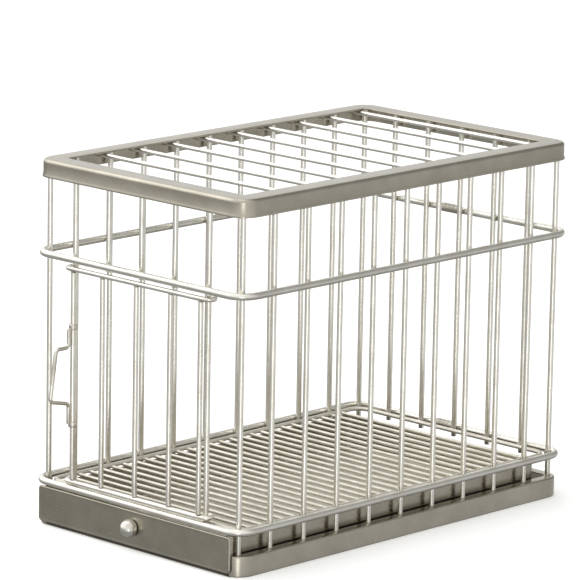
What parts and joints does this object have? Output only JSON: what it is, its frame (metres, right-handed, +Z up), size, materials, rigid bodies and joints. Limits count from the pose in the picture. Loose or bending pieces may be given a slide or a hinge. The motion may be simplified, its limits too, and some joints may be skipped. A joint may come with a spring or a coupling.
{
  "type": "kennel cage",
  "caption": "Wire kennel cage with a side-hung front door, a swinging door pull, a fixed wire floor and a pull-out tray drawer under it.",
  "frame": {"origin": "on the floor, at the centre of the whole object's box", "axes": "+Z up; the door and the drawer face -Y; +X is to the right seen from the front; +Y is the cage's long way"},
  "size_m": [0.3858, 0.6646, 0.484],
  "materials": {
    "frame_sheet": "pressed steel sheet, dull nickel plate, faint brushing",
    "hoop_wire": "satin nickel plated wire",
    "sleeve_metal": "crimped sleeve, dull nickel plate",
    "bar_wire": "satin nickel plated wire",
    "roof_wire": "satin nickel plated wire",
    "grille_wire": "satin nickel plated wire",
    "door_wire": "satin nickel plated wire",
    "pull_wire": "satin nickel plated wire, worn brighter at the grip",
    "drawer_sheet": "folded steel sheet, dull nickel plate, fine scuffs",
    "knob_metal": "turned knob, satin nickel plate"
  },
  "bodies": {
    "cage": {"top_frame": "frame_sheet", "base_frame": "frame_sheet", "mid_hoop": "hoop_wire", "floor_hoop": "hoop_wire", "mid_hoop_ferrule": "sleeve_metal", "floor_hoop_ferrule": "sleeve_metal", "corner_post_front_left": "bar_wire", "corner_post_front_right": "bar_wire", "corner_post_rear_left": "bar_wire", "corner_post_rear_right": "bar_wire", "door_jamb_left": "bar_wire", "door_jamb_right": "bar_wire", "front_short_bar_1": "bar_wire", "front_short_bar_2": "bar_wire", "front_short_bar_3": "bar_wire", "rear_bar_1": "bar_wire", "rear_bar_2": "bar_wire", "rear_bar_3": "bar_wire", "rear_bar_4": "bar_wire", "rear_bar_5": "bar_wire", "left_bar_1": "bar_wire", "left_bar_2": "bar_wire", "left_bar_3": "bar_wire", "left_bar_4": "bar_wire", "left_bar_5": "bar_wire", "left_bar_6": "bar_wire", "left_bar_7": "bar_wire", "left_bar_8": "bar_wire", "left_bar_9": "bar_wire", "right_bar_1": "bar_wire", "right_bar_2": "bar_wire", "right_bar_3": "bar_wire", "right_bar_4": "bar_wire", "right_bar_5": "bar_wire", "right_bar_6": "bar_wire", "right_bar_7": "bar_wire", "right_bar_8": "bar_wire", "right_bar_9": "bar_wire", "roof_bar_1": "roof_wire", "roof_bar_2": "roof_wire", "roof_bar_3": "roof_wire", "roof_bar_4": "roof_wire", "roof_bar_5": "roof_wire", "roof_bar_6": "roof_wire", "roof_bar_7": "roof_wire", "roof_bar_8": "roof_wire", "roof_bar_9": "roof_wire", "roof_bar_10": "roof_wire", "floor_grille": "grille_wire"},
    "door": {"door_top_wire": "door_wire", "door_bottom_wire": "door_wire", "door_free_stile": "door_wire", "door_hinge_stile": "door_wire", "door_bar_1": "door_wire", "door_bar_2": "door_wire", "door_bar_3": "door_wire"},
    "pull": {"door_pull": "pull_wire"},
    "drawer": {"drawer_pan": "drawer_sheet", "drawer_front": "drawer_sheet", "drawer_knob": "knob_metal"}
  },
  "joints": [
    {"name": "door_swing", "type": "hinge", "parent": "cage", "child": "door", "pos_m": [0.1215, -0.28235, 0.208], "axis": [0, 0, 1], "range_deg": [0, 165]},
    {"name": "pull_swing", "type": "hinge", "parent": "door", "child": "pull", "pos_m": [-0.116, -0.29095, 0.2085], "axis": [0, 0, 1], "range_deg": [-100, 100]},
    {"name": "drawer_slide", "type": "slide", "parent": "cage", "child": "drawer", "axis": [0, -1, 0], "range_m": [0, 0.45]}
  ]
}
